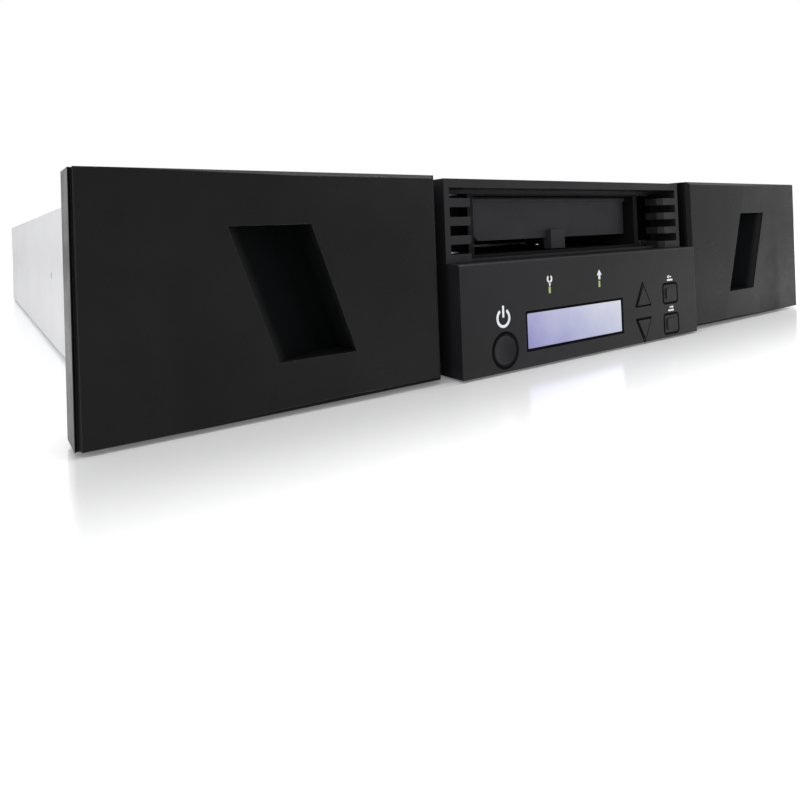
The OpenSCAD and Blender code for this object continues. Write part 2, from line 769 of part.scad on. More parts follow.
// Sled that carries the drive above the controller board
module drive_sled() {
  color("silver")
  union() {
    block([-sled_x, drive_y + 4, drive_z - 1.4], [sled_x, drive_y + drive_d, drive_z]);
    for (s = [-1, 1]) on_side(s) {
      block([drive_w / 2, drive_y + 4, drive_z - 1.4], [drive_w / 2 + 1.4, drive_y + drive_d, drive_z + 26]);
      block([sled_x - 1.4, drive_y + 4, sheet_t], [sled_x, drive_y + drive_d, drive_z]);
      block([sled_x - 1.4, drive_y + 4, sheet_t], [sled_x + 5, drive_y + drive_d, 2 * sheet_t]);
    }
  }
}

// Controller board below the drive, with its ports at the rear
module controller_board() {
  color("darkgreen")
  union() {
    block([13 - sled_x, drive_y + 12, board_z], [sled_x - 7, supply_y0 - 6, board_z + 1.6]);
    block([supply_x1 + 6, supply_y0 - 7, board_z], [board_x1, rear_y - 2, board_z + 1.6]);
    block([-20, drive_y + 60, board_z + 1.6], [20, drive_y + 100, board_z + 14]);
    for (x = [-52, 36]) block([x, drive_y + 40, board_z + 1.6], [x + 14, drive_y + 54, board_z + 3.2]);
    for (y = [110, 130, 150])
      block([-50, drive_y + y, board_z + 1.6], [-26, drive_y + y + 12, board_z + 3]);
    difference() {
      block([9, rear_y - 18, board_z + 1.6], [24, rear_y + 0.5, board_z + 14.4]);
      block([11, rear_y - 12, board_z + 4], [22, rear_y + 2, board_z + 12]);
    }
    difference() {
      block([33, rear_y - 14, board_z + 1.6], [45, rear_y + 0.5, board_z + 8]);
      block([34.5, rear_y - 10, board_z + 3], [43.5, rear_y + 2, board_z + 6.8]);
    }
    difference() {
      block([55, rear_y - 14, board_z + 1.6], [86, rear_y + 0.5, board_z + 12.4]);
      block([61, rear_y - 8, board_z + 3.4], [80, rear_y + 2, board_z + 10.6]);
    }
  }
}

// Spacers that hold the controller board off the tray
module board_standoffs() {
  color("goldenrod")
  for (p = [[19 - sled_x, drive_y + 18], [sled_x - 13, drive_y + 18], [19 - sled_x, supply_y0 - 14],
            [supply_x1 + 14, rear_y - 40], [board_x1 - 6, rear_y - 40]])
    rod_z(p[0], p[1], sheet_t, board_z, 2.6);
}

// Power supply in its own vented case
module power_supply() {
  color("lightslategray")
  difference() {
    block([supply_x0, supply_y0, 2 * sheet_t], [supply_x1, supply_y1, supply_z1]);
    block([supply_x0 + 1.5, supply_y0 + 1.5, 2 * sheet_t + 1.5], [supply_x1 - 1.5, supply_y1 - 1.5, supply_z1 - 1.5]);
    for (i = [0:10])
      block([supply_x0 + 10 + i * 6.5, supply_y0 - 1, 20], [supply_x0 + 13 + i * 6.5, supply_y0 + 3, 62]);
  }
}

// Mains inlet: a flange on the rear panel and a socket body behind it
module power_inlet() {
  color("#1a1a1a")
  difference() {
    union() {
      on_front(inlet_x, rear_y, rear_y + 2.4, inlet_z) soft_rect(40, 28, 3);
      block([inlet_x - 13.8, rear_y - 24, inlet_z - 10.3], [inlet_x + 13.8, rear_y + 0.5, inlet_z + 10.3]);
    }
    block([inlet_x - 12, rear_y - 17, inlet_z - 8], [inlet_x + 12, rear_y + 3, inlet_z + 8]);
  }
}

// Three blades inside the mains inlet
module inlet_pins() {
  color("lightgray")
  for (p = [[-7, 2], [7, 2], [0, -2]])
    block([inlet_x + p[0] - 1, rear_y - 17, inlet_z + p[1] - 2],
          [inlet_x + p[0] + 1, rear_y - 3, inlet_z + p[1] + 2]);
}

// Housing of the mains switch
module switch_housing() {
  color("#1a1a1a")
  difference() {
    union() {
      on_front(rocker_x, rear_y, rear_y + 2, inlet_z) soft_rect(30, 23, 2);
      block([rocker_x - 11.8, rear_y - 22, inlet_z - 8.8], [rocker_x + 11.8, rear_y + 0.5, inlet_z + 8.8]);
    }
    block([rocker_x - rocker_w / 2 - 0.5, rear_y - 12, inlet_z - rocker_h / 2 - 0.5],
          [rocker_x + rocker_w / 2 + 0.5, rear_y + 3, inlet_z + rocker_h / 2 + 0.5]);
    rod_x(rocker_x - rocker_w / 2 - 1.7, rocker_x + rocker_w / 2 + 1.7, rear_y - 3, inlet_z, 1.5 + running);
  }
}

// Rocker that tips about a pin across its middle
module power_rocker() {
  color("#2b2b2b")
  union() {
    translate([rocker_x - rocker_w / 2, rear_y - 3, inlet_z]) rotate([rocker_tilt, 0, 0])
      rotate([90, 0, 90]) linear_extrude(rocker_w)
      polygon([[-5, -2.5], [-5, 2.5], [1.5, rocker_h / 2 - 0.7], [4.6, rocker_h / 2 - 1], [3, 0],
               [4.6, -rocker_h / 2 + 1], [1.5, -rocker_h / 2 + 0.7]]);
    rod_x(rocker_x - rocker_w / 2 - 1.5, rocker_x + rocker_w / 2 + 1.5, rear_y - 3, inlet_z, 1.5);
  }
}

// Square fan frame with a hub held by four arms and a fixed pin
module fan_frame() {
  color("#202022")
  difference() {
    union() {
      difference() {
        block([fan_x - fan_size / 2, fan_y, fan_z - fan_size / 2],
              [fan_x + fan_size / 2, fan_y + fan_d, fan_z + fan_size / 2]);
        rod_y(fan_x, fan_z, fan_y - 1, fan_y + fan_d + 1, 28.6);
      }
      rod_y(fan_x, fan_z, fan_y, fan_y + 3, 13);
      for (a = [45:90:315])
        translate([fan_x, fan_y, fan_z]) rotate([0, a, 0]) block([0, 0, -1.5], [30, 3, 1.5]);
      rod_y(fan_x, fan_z, fan_y, fan_y + 20, 2.5);
    }
    for (x = [-25, 25], z = [-25, 25]) rod_y(fan_x + x, fan_z + z, fan_y - 1, fan_y + fan_d + 1, 2.1);
  }
}

// Fan rotor with seven twisted blades on a cupped hub
module fan_rotor() {
  color("#2c2c2e")
  difference() {
    union() {
      rod_y(fan_x, fan_z, fan_y + 4, fan_y + 22, 13);
      intersection() {
        for (i = [0:6]) translate([fan_x, fan_y + 13, fan_z]) rotate([0, i * 360 / 7, 0])
          rotate([38, 0, 0]) block([8, -9, -0.8], [30, 9, 0.8]);
        rod_y(fan_x, fan_z, fan_y + 5, fan_y + 21, 27.6);
      }
    }
    rod_y(fan_x, fan_z, fan_y + 3, fan_y + 20.4, 2.5 + running);
  }
}

base_tray();
top_cover();
rear_panel();
front_bulkhead();
rack_ears();
bay_dividers();
magazine_rails();
cover_screws();
ear_screws();
centre_frame();
throat_liner();
mail_door();
control_fascia();
display_window();
display_module();
control_board();
status_light_pipes();
power_button();
up_button();
down_button();
enter_button();
escape_button();
left_panel();
left_tray();
left_cartridges();
left_carriers();
left_belts();
left_front_pulleys();
left_rear_pulleys();
right_panel();
right_tray();
right_cartridges();
right_carriers();
right_belts();
right_front_pulleys();
right_rear_pulleys();
magazine_motors();
picker_base();
picker_motor();
picker_turntable();
picker_carriage();
tape_drive();
drive_sled();
controller_board();
board_standoffs();
power_supply();
power_inlet();
inlet_pins();
switch_housing();
power_rocker();
fan_frame();
fan_rotor();
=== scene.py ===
"""Finishes, front markings, small fittings and stage for a two-unit rack-mount tape library."""

import json
import math

import bmesh
import bpy
from mathutils import Matrix, Vector


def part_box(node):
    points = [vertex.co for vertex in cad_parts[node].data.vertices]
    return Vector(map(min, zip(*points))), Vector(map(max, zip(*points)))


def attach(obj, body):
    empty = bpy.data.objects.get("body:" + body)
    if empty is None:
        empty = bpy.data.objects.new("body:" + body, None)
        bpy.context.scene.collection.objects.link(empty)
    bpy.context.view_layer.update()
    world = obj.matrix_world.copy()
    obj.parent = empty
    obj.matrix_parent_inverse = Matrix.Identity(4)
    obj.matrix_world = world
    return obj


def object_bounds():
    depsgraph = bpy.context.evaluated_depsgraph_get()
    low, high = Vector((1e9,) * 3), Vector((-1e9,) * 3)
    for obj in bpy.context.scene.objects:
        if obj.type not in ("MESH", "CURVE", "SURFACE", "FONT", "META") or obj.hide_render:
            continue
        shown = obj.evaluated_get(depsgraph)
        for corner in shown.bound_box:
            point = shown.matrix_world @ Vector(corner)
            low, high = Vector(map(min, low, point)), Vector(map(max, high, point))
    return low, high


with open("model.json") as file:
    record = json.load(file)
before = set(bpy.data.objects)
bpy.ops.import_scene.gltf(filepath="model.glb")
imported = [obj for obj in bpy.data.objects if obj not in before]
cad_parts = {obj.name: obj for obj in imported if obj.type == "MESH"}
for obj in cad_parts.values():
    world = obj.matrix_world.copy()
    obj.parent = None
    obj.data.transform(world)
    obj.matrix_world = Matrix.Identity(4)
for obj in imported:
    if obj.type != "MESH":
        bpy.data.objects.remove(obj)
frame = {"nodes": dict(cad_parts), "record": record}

bl_info = {
    "name": "Tape library",
    "version": (1, 0, 0),
    "blender": (4, 5, 0),
    "location": "View3D > Sidebar > Tape library",
    "description": "Dresses a rack-mount tape library and sets its stage",
    "category": "Object",
}

CAD_BOX = [list(corner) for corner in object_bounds()]
NODES = frame["nodes"]
SLOTS = {part["node"]: part["material_slot"] for part in frame["record"]["subparts"]}
MM = 0.001

INK_SINK = 0.00003  # how far printed marks reach into the panel
BOARD_THICKNESS = 1.6 * MM
CARTRIDGE_WIDTH = 102 * MM
CARTRIDGE_HEIGHT = 21.5 * MM
CARTRIDGES_LONG, CARTRIDGES_HIGH = 4, 2
FAN_SCREW_INSET = 5 * MM
INLET_SCREW_GAP = 6 * MM

# Name, low and high X, height and width of the rim, in millimetres.
PORTS = (
    ("network_port", 9, 24, 12.8, 1.9),
    ("service_port", 33, 45, 6.4, 1.3),
    ("host_port", 55, 86, 10.8, 1.7),
)

CAMERA_TURN = (32.0, -0.98, -2.02)  # yaw, pitch and roll in degrees
CAMERA_FROM_PANEL = (-0.196, 0.0639)  # Y and Z from the left panel's low front corner
CAMERA_X = -0.267
CAMERA_SHIFT = (0.06875, -0.22225)  # sideways and up, as a share of the frame's width
FLOOR_SIZE, FLOOR_DROP = 14, 0.0006


def box(node):
    """Lowest and highest corner of a node."""
    low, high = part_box(node)
    return Vector(low), Vector(high)


def middle(node):
    low, high = box(node)
    return (low + high) / 2


def tint(code):
    """Linear red, green and blue of a six-digit colour code."""
    parts = [int(code[i : i + 2], 16) / 255 for i in (0, 2, 4)]
    return tuple(c / 12.92 if c <= 0.04045 else ((c + 0.055) / 1.055) ** 2.4 for c in parts)


def rgba(colour):
    return (*tuple(colour)[:3], 1.0)


# ---- Settings ----


class FrontSettings(bpy.types.PropertyGroup):
    """Sizes and colours of the front."""

    case_colour: bpy.props.FloatVectorProperty(
        name="Panels", description="Colour of the magazine panels", subtype="COLOR",
        size=3, min=0, max=1, default=tint("141415"))
    control_colour: bpy.props.FloatVectorProperty(
        name="Control panel", description="Colour of the control panel", subtype="COLOR",
        size=3, min=0, max=1, default=tint("1a1a1c"))
    mark_colour: bpy.props.FloatVectorProperty(
        name="Printed marks", description="Colour of the printed marks", subtype="COLOR",
        size=3, min=0, max=1, default=tint("e4e6ea"))
    light_colour: bpy.props.FloatVectorProperty(
        name="Status lights", description="Colour of the lit status lights", subtype="COLOR",
        size=3, min=0, max=1, default=tint("97a866"))
    glow: bpy.props.FloatProperty(
        name="Display glow", description="Strength of the display's light",
        default=0.74, min=0, max=2)
    print_height: bpy.props.FloatProperty(
        name="Print height", description="How far the printed marks stand out", unit="LENGTH",
        subtype="DISTANCE", default=0.00008, min=0.00002, max=0.0003, precision=5)


class CaseSettings(bpy.types.PropertyGroup):
    """Colours of the chassis and what it holds."""

    cover_colour: bpy.props.FloatVectorProperty(
        name="Cover", description="Colour of the painted cover", subtype="COLOR",
        size=3, min=0, max=1, default=tint("c6c6c8"))
    sheet_colour: bpy.props.FloatVectorProperty(
        name="Bare sheet", description="Colour of the plated sheet metal", subtype="COLOR",
        size=3, min=0, max=1, default=tint("b4b7ba"))
    cartridge_colour: bpy.props.FloatVectorProperty(
        name="Cartridges", description="Colour of the cartridge shells", subtype="COLOR",
        size=3, min=0, max=1, default=tint("2d3540"))
    screw_radius: bpy.props.FloatProperty(
        name="Screw heads", description="Radius of the small screw heads at the rear",
        unit="LENGTH", subtype="DISTANCE", default=0.0028, min=0.002, max=0.003, precision=4)


class StageSettings(bpy.types.PropertyGroup):
    """Camera, floor and light."""

    lens: bpy.props.FloatProperty(
        name="Lens", description="Focal length of the camera", unit="CAMERA",
        default=27.09, min=10, max=200)
    sky: bpy.props.FloatProperty(
        name="Sky", description="Strength of the soft light from all round",
        default=0.62, min=0, max=2)
    key: bpy.props.FloatProperty(
        name="Key light", description="Power of the soft box at the upper left",
        default=9.0, min=0, max=100)


# ---- Finishes ----


def begin(name, rough=0.5, metal=0.0, gloss=0.5, colour=None):
    """Starts a material and gives it, its tree and its shader."""
    made = bpy.data.materials.new(name)
    made.use_nodes = True
    tree = made.node_tree
    shader = tree.nodes["Principled BSDF"]
    shader.inputs["Roughness"].default_value = rough
    shader.inputs["Metallic"].default_value = metal
    shader.inputs["Specular IOR Level"].default_value = gloss
    if colour is not None:
        shader.inputs["Base Color"].default_value = rgba(colour)
    return made, tree, shader


def add(tree, kind, values=None, **settings):
    """Adds a node; values go to its sockets and settings to the node itself."""
    made = tree.nodes.new(kind)
    for key, value in settings.items():
        setattr(made, key, value)
    for key, value in (values or {}).items():
        made.inputs[key].default_value = value
    return made


def where(tree, scale=(1, 1, 1), place=(0, 0, 0)):
    """Object coordinates, stretched and moved."""
    spot = add(tree, "ShaderNodeTexCoord")
    put = add(tree, "ShaderNodeMapping", {"Scale": scale, "Location": place})
    tree.links.new(spot.outputs["Object"], put.inputs["Vector"])
    return put.outputs["Vector"]


def noise(tree, scale, detail=3.0, rough=0.5, vector=None):
    made = add(tree, "ShaderNodeTexNoise", {"Scale": scale, "Detail": detail, "Roughness": rough})
    tree.links.new(vector or where(tree), made.inputs["Vector"])
    return made.outputs["Fac"]


def maths(tree, operation, *values, clamp=False):
    """A sum on numbers; each value is a socket or a number."""
    made = add(tree, "ShaderNodeMath", operation=operation, use_clamp=clamp)
    for source, socket in zip(values, made.inputs):
        if hasattr(source, "links"):
            tree.links.new(source, socket)
        else:
            socket.default_value = source
    return made.outputs["Value"]


def axes(tree, vector):
    """X, Y and Z of a vector."""
    made = add(tree, "ShaderNodeSeparateXYZ")
    tree.links.new(vector, made.inputs["Vector"])
    return made.outputs


def shades(colour, low, high):
    """A darker and a lighter shade of a colour."""
    return tuple(c * low for c in colour), tuple(min(1, c * high) for c in colour)


def ramp(tree, source, stops):
    """Colour ramp with stops of (place, colour)."""
    made = add(tree, "ShaderNodeValToRGB")
    points = made.color_ramp.elements
    while len(points) < len(stops):
        points.new(0.5)
    for point, (place, colour) in zip(points, stops):
        point.position = place
        point.color = rgba(colour)
    tree.links.new(source, made.inputs["Fac"])
    return made.outputs["Color"]


def spread(tree, source, low, high, from_low=0.0, from_high=1.0):
    made = add(tree, "ShaderNodeMapRange", {
        "From Min": from_low, "From Max": from_high, "To Min": low, "To Max": high})
    tree.links.new(source, made.inputs["Value"])
    return made.outputs["Result"]


def mixed(tree, amount, first, second):
    """Mixes two colours; each is a socket or a colour."""
    made = add(tree, "ShaderNodeMix", data_type="RGBA")
    for source, key in ((amount, "Factor"), (first, "A"), (second, "B")):
        socket = next(s for s in made.inputs if s.name == key and s.enabled)
        if hasattr(source, "links"):
            tree.links.new(source, socket)
        else:
            socket.default_value = source if key == "Factor" else rgba(source)
    return next(s for s in made.outputs if s.enabled)


def rounded_edge(tree, radius):
    """Rounded normal of the edges, and a mask that is 1 on them."""
    soft = add(tree, "ShaderNodeBevel", {"Radius": radius}, samples=4)
    plain = add(tree, "ShaderNodeNewGeometry")
    dot = add(tree, "ShaderNodeVectorMath", operation="DOT_PRODUCT")
    tree.links.new(soft.outputs["Normal"], dot.inputs[0])
    tree.links.new(plain.outputs["Normal"], dot.inputs[1])
    return soft.outputs["Normal"], spread(tree, dot.outputs["Value"], 1.0, 0.0, 0.72, 0.98)


def raised(tree, shader, height, distance, strength=1.0, normal=None):
    bump = add(tree, "ShaderNodeBump", {"Distance": distance, "Strength": strength})
    tree.links.new(height, bump.inputs["Height"])
    if normal is not None:
        tree.links.new(normal, bump.inputs["Normal"])
    tree.links.new(bump.outputs["Normal"], shader.inputs["Normal"])


def moulded(name, colour, rough=0.42, gloss=0.3, grain=2600, depth=0.00003, edge=0.0003, edge_wear_and_sheen=0.25,
            vary=0.16, cloud=26):
    """Moulded plastic: fine spark-eroded grain, faint cloudiness and lighter edges, partly rubbed
    lighter and partly a painted edge highlight.
    """
    made, tree, shader = begin(name, rough, 0, gloss)
    light = tuple(min(1, c * (1 + vary) + 0.0006) for c in colour)
    dark = tuple(c * (1 - vary) for c in colour)
    body = ramp(tree, noise(tree, cloud, 4, 0.55), [(0.3, dark), (0.7, light)])
    normal, mask = rounded_edge(tree, edge)
    # Lighter edges: partly rubbed plastic, partly a painted highlight standing in for light caught
    # by the edges.
    worn_and_lit_edge = spread(tree, mask, 0.0, edge_wear_and_sheen)
    pale = tuple(min(1, c * 2.2 + 0.02) for c in colour)
    tree.links.new(mixed(tree, worn_and_lit_edge, body, pale), shader.inputs["Base Color"])
    tree.links.new(spread(tree, noise(tree, 90, 5, 0.6), rough - 0.05, rough + 0.06, 0.3, 0.7),
                   shader.inputs["Roughness"])
    raised(tree, shader, noise(tree, grain, 2, 0.6), depth, 0.55, normal)
    return made


def panel_moulding(name, colour):
    """Smooth satin panel plastic with strongly lightened edges, partly rubbed and partly a painted
    edge highlight; matt and painted nearly black behind the front where the recess lies, as the
    recess's shade.
    """
    made = moulded(name, colour, 0.3, 0.09, 2600, 0.000006, 0.0005, 0.9)
    tree = made.node_tree
    shader = tree.nodes["Principled BSDF"]
    shine = shader.inputs["Base Color"].links[0].from_socket
    satin = shader.inputs["Roughness"].links[0].from_socket
    place = axes(tree, where(tree))
    front = box("left_panel")[0].y
    # Painted shade: the inside of the recess is coloured nearly black to stand in for the shade
    # that fills it.
    deep = spread(tree, place["Y"], 0.0, 1.0, front + 1.0 * MM, front + 4.0 * MM)
    inside = spread(tree, maths(tree, "ABSOLUTE", place["X"]), 1.0, 0.0, 0.205, 0.215)
    recess = maths(tree, "MULTIPLY", deep, inside)
    tree.links.new(mixed(tree, recess, shine, tint("020304")), shader.inputs["Base Color"])
    matt = maths(tree, "MULTIPLY_ADD", recess, 0.7, satin, clamp=True)
    tree.links.new(matt, shader.inputs["Roughness"])
    return made


def painted(name, colour, rough=0.38, gloss=0.35, peel=420, depth=0.00006, edge=0.0005):
    """Powder-coated sheet: orange peel, faint flecks and rounded edges."""
    made, tree, shader = begin(name, rough, 0, gloss)
    dark, light = shades(colour, 0.95, 1.04)
    body = ramp(tree, noise(tree, 9, 4, 0.6), [(0.3, dark), (0.7, light)])
    flecks = spread(tree, noise(tree, 3200, 1, 0.5), 0.0, 0.12, 0.55, 0.8)
    body = mixed(tree, flecks, body, tuple(c * 0.55 for c in colour))
    normal, _ = rounded_edge(tree, edge)
    tree.links.new(body, shader.inputs["Base Color"])
    tree.links.new(spread(tree, noise(tree, 14, 5, 0.6), rough - 0.05, rough + 0.07, 0.3, 0.7),
                   shader.inputs["Roughness"])
    raised(tree, shader, noise(tree, peel, 3, 0.5), depth, 0.5, normal)
    return made


def plated(name, colour, rough=0.32, spangle=160):
    """Zinc-plated sheet: faint spangle and rolled lines along the sheet."""
    made, tree, shader = begin(name, rough, 0.85, 0.5)
    cells = add(tree, "ShaderNodeTexVoronoi", {"Scale": spangle}, feature="F1")
    tree.links.new(where(tree), cells.inputs["Vector"])
    grey = add(tree, "ShaderNodeRGBToBW")
    tree.links.new(cells.outputs["Color"], grey.inputs["Color"])
    dark, light = shades(colour, 0.88, 1.06)
    body = ramp(tree, grey.outputs["Val"], [(0.1, dark), (0.9, light)])
    tree.links.new(body, shader.inputs["Base Color"])
    lines = noise(tree, 260, 2, 0.5, where(tree, (1, 0.03, 1)))
    tree.links.new(spread(tree, lines, rough - 0.07, rough + 0.13, 0.3, 0.7),
                   shader.inputs["Roughness"])
    normal, _ = rounded_edge(tree, 0.0002)
    raised(tree, shader, lines, 0.00002, 0.4, normal)
    return made


def turned(name, colour, rough=0.28, stretch=(1, 1, 14)):
    """Machined or drawn metal with fine tool lines."""
    made, tree, shader = begin(name, rough, 1.0, 0.5)
    lines = noise(tree, 420, 3, 0.6, where(tree, stretch))
    dark, light = shades(colour, 0.8, 1.1)
    tree.links.new(ramp(tree, lines, [(0.3, dark), (0.7, light)]), shader.inputs["Base Color"])
    tree.links.new(spread(tree, lines, rough - 0.06, rough + 0.12, 0.3, 0.7),
                   shader.inputs["Roughness"])
    normal, _ = rounded_edge(tree, 0.00015)
    raised(tree, shader, lines, 0.00002, 0.5, normal)
    return made


def rubber(name, colour):
    """Toothed rubber belt with a dusty face."""
    made, tree, shader = begin(name, 0.75, 0, 0.2)
    dusty = tuple(c * 1.9 + 0.004 for c in colour)
    tree.links.new(ramp(tree, noise(tree, 300, 4, 0.6), [(0.35, colour), (0.75, dusty)]),
                   shader.inputs["Base Color"])
    teeth = add(tree, "ShaderNodeTexWave", {"Scale": 95.0}, wave_type="BANDS", bands_direction="Y")
    tree.links.new(where(tree), teeth.inputs["Vector"])
    raised(tree, shader, teeth.outputs["Fac"], 0.0003, 0.7)
    return made


def solder_mask(name, colour):
    """Circuit board: lacquer over copper tracks, with bright pads."""
    made, tree, shader = begin(name, 0.3, 0, 0.5)
    tracks = add(tree, "ShaderNodeTexBrick", {
        "Color1": rgba(colour), "Color2": rgba(tuple(c * 0.8 for c in colour)),
        "Mortar": rgba(tuple(min(1, c * 2.1 + 0.01) for c in colour)), "Scale": 260.0,
        "Mortar Size": 0.09, "Mortar Smooth": 0.2, "Brick Width": 2.6, "Row Height": 0.34},
        offset=0.37, squash=1.3, squash_frequency=3)
    tree.links.new(where(tree), tracks.inputs["Vector"])
    pads = add(tree, "ShaderNodeTexVoronoi", {"Scale": 210.0, "Randomness": 0.35}, feature="F1")
    tree.links.new(where(tree), pads.inputs["Vector"])
    spots = spread(tree, pads.outputs["Distance"], 1.0, 0.0, 0.14, 0.19)
    body = mixed(tree, spots, tracks.outputs["Color"], tint("c9cac4"))
    tree.links.new(body, shader.inputs["Base Color"])
    raised(tree, shader, tracks.outputs["Fac"], 0.00004, 0.5)
    return made


def clear(name, colour, rough=0.04, frost=900):
    """Clear moulding with a faint ripple."""
    made, tree, shader = begin(name, rough, 0, 0.5, colour)
    shader.inputs["Transmission Weight"].default_value = 1.0
    shader.inputs["IOR"].default_value = 1.2
    tree.links.new(spread(tree, noise(tree, 60, 3), rough * 0.6, rough * 1.6, 0.3, 0.7),
                   shader.inputs["Roughness"])
    raised(tree, shader, noise(tree, frost, 2), 0.00001, 0.2)
    return made


def lit(name, colour, strength):
    """Lens lit from behind."""
    made, tree, shader = begin(name, 0.35, 0, 0.4, colour)
    dim = tuple(c * 0.7 for c in colour)
    shade = ramp(tree, noise(tree, 900, 2), [(0.2, dim), (0.8, colour)])
    tree.links.new(shade, shader.inputs["Emission Color"])
    shader.inputs["Emission Strength"].default_value = strength
    return made


def printed(name, colour, rough=0.55):
    """Screen-printed ink with a slightly uneven film."""
    made, tree, shader = begin(name, rough, 0, 0.3)
    tree.links.new(ramp(tree, noise(tree, 3000, 2), [
        (0.3, tuple(c * 0.86 for c in colour)), (0.6, colour)]), shader.inputs["Base Color"])
    raised(tree, shader, noise(tree, 5000, 2), 0.00001, 0.4)
    return made


def backlit(name, strength):
    """Lit face of the display: violet at the lower left, nearly white at the upper right."""
    made, tree, shader = begin(name, 0.3, 0, 0.1, tint("2c2c40"))
    low, high = box("display_window")
    size = high - low
    spot = where(tree, (1 / size.x, 1, 1 / size.z), (-low.x / size.x, 0, -low.z / size.z))
    place = axes(tree, spot)
    rise = maths(tree, "MULTIPLY", place["Z"], 0.42)
    along = maths(tree, "MULTIPLY_ADD", place["X"], 0.62, rise)
    cloud = spread(tree, noise(tree, 70, 3), -0.07, 0.07, 0.3, 0.7)
    shade = ramp(tree, maths(tree, "ADD", along, cloud), [
        (0.05, tint("9a98d2")), (0.3, tint("b6b6e0")),
        (0.6, tint("d4d8ef")), (0.95, tint("f1f3fb"))])
    tree.links.new(shade, shader.inputs["Emission Color"])
    shader.inputs["Emission Strength"].default_value = strength
    return made


def make_finishes(scene):
    front, case = scene.tape_front, scene.tape_case
    dark = tuple(front.case_colour)
    panel = tuple(front.control_colour)
    return {
        "light_sheet": plated("zinc_plated_sheet", tuple(case.sheet_colour)),
        "cover_sheet": painted("painted_cover", tuple(case.cover_colour)),
        "front_plastic": panel_moulding("panel_plastic", dark),
        "frame_plastic": moulded(
            "frame_plastic", tint("1c1c1e"), 0.42, 0.14, 2600, 0.00002, 0.0004, 0.5),
        "control_plastic": moulded(
            "control_plastic", panel, 0.36, 0.12, 2800, 0.000012, 0.0005, 0.7),
        # Throat liner: black plastic, darkened further as painted shade inside the throat.
        "throat_plastic": moulded("throat_plastic", tint("0d0d0e"), 0.6, 0.1, 2200, 0.00003),
        "door_plastic": moulded("door_plastic", tint("2c2c2f"), 0.55, 0.16, 2200, 0.00003),
        "window_clear": clear("window_clear", (0.96, 0.96, 1.0)),
        "display_lit": moulded("display_bezel", tint("141416"), 0.4, 0.3),
        "board_green": solder_mask("board_green", tint("1c5a36")),
        "light_pipe": lit("light_pipe", tuple(front.light_colour), 0.16),
        "key_plastic": moulded(
            "key_plastic", tint("19191b"), 0.42, 0.14, 2400, 0.00003, 0.00035, 0.5),
        "cap_plastic": moulded(
            "cap_plastic", tint("19191b"), 0.42, 0.14, 2400, 0.00003, 0.0003, 0.5),
        "tray_plastic": moulded("tray_plastic", tint("3f4246"), 0.5, 0.35, 1700, 0.00004),
        "cartridge_plastic": moulded(
            "cartridge_plastic", tuple(case.cartridge_colour), 0.45, 0.35, 1500, 0.00005),
        "carrier_plastic": moulded("carrier_plastic", tint("4c5c60"), 0.48, 0.35, 1700, 0.00004),
        "belt_rubber": rubber("belt_rubber", tint("19191a")),
        "pulley_plastic": moulded("pulley_plastic", tint("d9d5c6"), 0.4, 0.4, 1700, 0.00003),
        "rail_plastic": moulded("rail_plastic", tint("4a4a4c"), 0.35, 0.4, 1700, 0.00003),
        "screw_steel": turned("screw_steel", tint("b9bbbd"), 0.26),
        "motor_case": painted("motor_case", tint("55585c"), 0.4, 0.4, 900, 0.00004),
        "table_metal": turned("table_metal", tint("a7aaad"), 0.34, (1, 0.05, 1)),
        "carriage_plastic": moulded("carriage_plastic", tint("303338"), 0.45, 0.35, 1700, 0.00004),
        "drive_case": plated("drive_case", tint("9fa2a6"), 0.36, 240),
        "supply_case": plated("supply_case", tint("8f959b"), 0.38, 200),
        "brass": turned("brass", tint("c8a252"), 0.3),
        "inlet_plastic": moulded("inlet_plastic", tint("202022"), 0.4, 0.35, 1900, 0.00003),
        "fan_plastic": moulded("fan_plastic", tint("242426"), 0.42, 0.35, 1900, 0.00003),
        "mark_ink": printed("mark_ink", tuple(front.mark_colour)),
        "display_face": backlit("display_face", front.glow),
        "label_paper": printed("label_paper", tint("e9e7df"), 0.6),
        # Near-black finish: the display's own mask, and painted shade for the gaps round the
        # buttons and behind the louvres.
        "dark_slot": moulded("dark_slot", tint("040405"), 0.7, 0.03, edge_wear_and_sheen=0.0),
    }


FINISHES = {}


class TAPE_OT_finishes(bpy.types.Operator):
    """Gives every part of the tape library its finish."""

    bl_idname = "tape.finishes"
    bl_label = "Finishes"

    def execute(self, context):
        FINISHES.update(make_finishes(context.scene))
        for name, part in NODES.items():
            slot = SLOTS.get(name)
            if slot not in FINISHES:
                raise RuntimeError("no finish for " + name)
            if not part.material_slots:
                part.data.materials.append(FINISHES[slot])
            for place in part.material_slots:
                place.material = FINISHES[slot]
        return {"FINISHED"}


# ---- Modelling helpers ----


def fresh():
    """Leaves nothing selected and no mesh being edited."""
    if bpy.context.object and bpy.context.object.mode != "OBJECT":
        bpy.ops.object.mode_set(mode="OBJECT")
    bpy.ops.object.select_all(action="DESELECT")


def take(piece):
    """Selects one piece alone and makes it the active one."""
    fresh()
    piece.select_set(True)
    bpy.context.view_layer.objects.active = piece


def edit(pick=None, kind="FACE"):
    """Enters edit mode with only the elements that pick accepts selected."""
    bpy.ops.object.mode_set(mode="EDIT")
    bpy.ops.mesh.select_mode(type=kind)
    bpy.ops.mesh.select_all(action="DESELECT")
    work = bmesh.from_edit_mesh(bpy.context.object.data)
    many = {"FACE": work.faces, "EDGE": work.edges, "VERT": work.verts}[kind]
    for part in many:
        if pick is None or pick(part):
            part.select_set(True)
    work.select_flush_mode()
    bmesh.update_edit_mesh(bpy.context.object.data)


def leave():
    bpy.ops.object.mode_set(mode="OBJECT")


